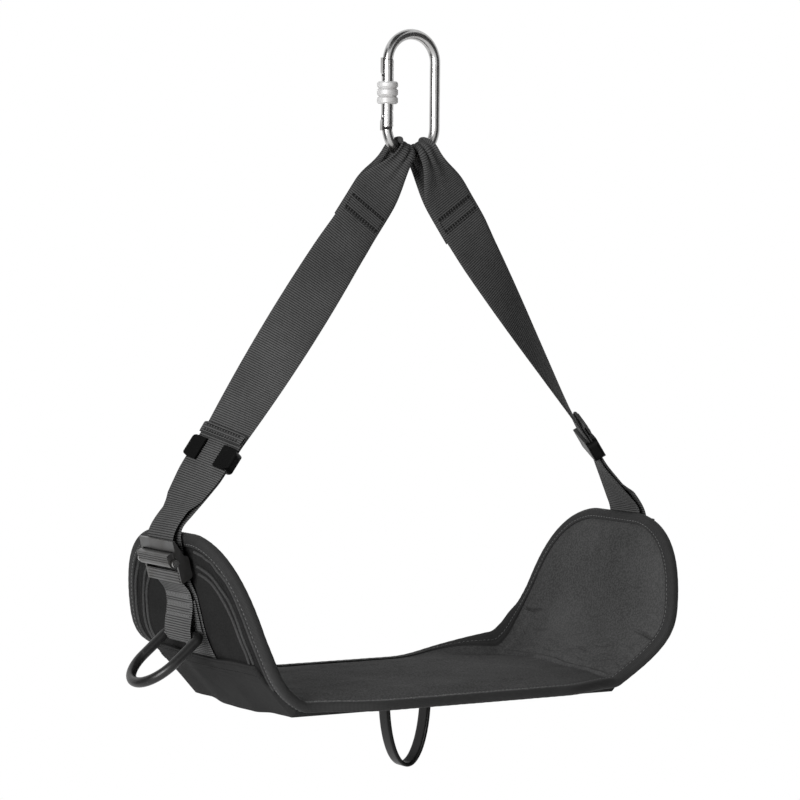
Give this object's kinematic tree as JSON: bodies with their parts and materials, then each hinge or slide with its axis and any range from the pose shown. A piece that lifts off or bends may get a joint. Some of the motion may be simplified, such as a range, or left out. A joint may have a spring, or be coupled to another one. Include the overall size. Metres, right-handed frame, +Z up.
{
  "type": "bosun's chair",
  "caption": "Padded sling seat with upturned rounded wings, hung by adjustable webbing straps from a screw-gate carabiner, with side D-rings and a tool loop underneath.",
  "frame": {"origin": "bearing point inside the top bow of the carabiner, from which the chair hangs", "axes": "+Z up, X along the length of the seat, -Y towards the front edge of the seat"},
  "size_m": [0.5328, 0.2376, 0.6372],
  "materials": {
    "steel": "polished",
    "spring_steel": "plain",
    "sleeve_metal": "matte",
    "buckle_steel": "satin",
    "webbing": "woven, ribbed across",
    "keeper_plastic": "moulded",
    "ring_black": "semi-gloss black",
    "plywood": "sanded",
    "foam": "closed-cell foam",
    "seat_fabric": "woven",
    "binding_tape": "ribbed tape",
    "coated_fabric": "coated, semi-gloss",
    "loop_rubber": "glossy"
  },
  "bodies": {
    "carabiner": {"carabiner_body": "steel"},
    "gate": {"carabiner_gate": "steel", "gate_hinge_pin": "steel", "gate_latch_pin": "steel", "gate_spring": "spring_steel", "gate_plunger": "spring_steel"},
    "sleeve": {"screw_sleeve": "sleeve_metal"},
    "chair": {"left_strap": "webbing", "right_strap": "webbing", "left_buckle_frame": "buckle_steel", "right_buckle_frame": "buckle_steel", "left_buckle_axle": "buckle_steel", "right_buckle_axle": "buckle_steel", "sling_webbing": "webbing", "seat_board": "plywood", "seat_foam": "foam", "seat_top_cover": "seat_fabric", "outer_cover": "seat_fabric", "edge_binding": "binding_tape", "board_pocket": "coated_fabric", "tool_loop": "loop_rubber"},
    "left_ring": {"left_d_ring": "ring_black"},
    "right_ring": {"right_d_ring": "ring_black"},
    "left_keeper": {"left_strap_keeper": "keeper_plastic"},
    "right_keeper": {"right_strap_keeper": "keeper_plastic"},
    "left_cam": {"left_buckle_cam": "buckle_steel"},
    "right_cam": {"right_buckle_cam": "buckle_steel"}
  },
  "joints": [
    {"name": "gate_open", "type": "hinge", "parent": "carabiner", "child": "gate", "pos_m": [-0.024, 0, -0.07225], "axis": [0, 1, 0], "range_deg": [0, 25], "stiffness_Nm_per_rad": 0.1, "springref_deg": -28.65},
    {"name": "sleeve_travel", "type": "slide", "parent": "gate", "child": "sleeve", "axis": [0, 0, 1], "range_m": [-0.011, 0.005]},
    {"name": "chair_swing", "type": "hinge", "parent": "carabiner", "child": "chair", "pos_m": [0, 0, -0.09607], "axis": [1, 0, 0], "range_deg": [-30, 30]},
    {"name": "left_ring_swing", "type": "hinge", "parent": "chair", "child": "left_ring", "pos_m": [-0.21776, 0, -0.50037], "axis": [0, 1, 0], "range_deg": [-35, 80]},
    {"name": "right_ring_swing", "type": "hinge", "parent": "chair", "child": "right_ring", "pos_m": [0.21776, 0, -0.50037], "axis": [0, -1, 0], "range_deg": [-35, 80]},
    {"name": "left_keeper_slide", "type": "slide", "parent": "chair", "child": "left_keeper", "axis": [0.5789, 0, 0.8154], "range_m": [-0.006, 0.001]},
    {"name": "right_keeper_slide", "type": "slide", "parent": "chair", "child": "right_keeper", "axis": [-0.5789, 0, 0.8154], "range_m": [-0.006, 0.001]},
    {"name": "left_cam_tip", "type": "hinge", "parent": "chair", "child": "left_cam", "pos_m": [-0.24198, 0, -0.43798], "axis": [0, -1, 0], "range_deg": [0, 30]},
    {"name": "right_cam_tip", "type": "hinge", "parent": "chair", "child": "right_cam", "pos_m": [0.24198, 0, -0.43798], "axis": [0, 1, 0], "range_deg": [0, 30]}
  ]
}
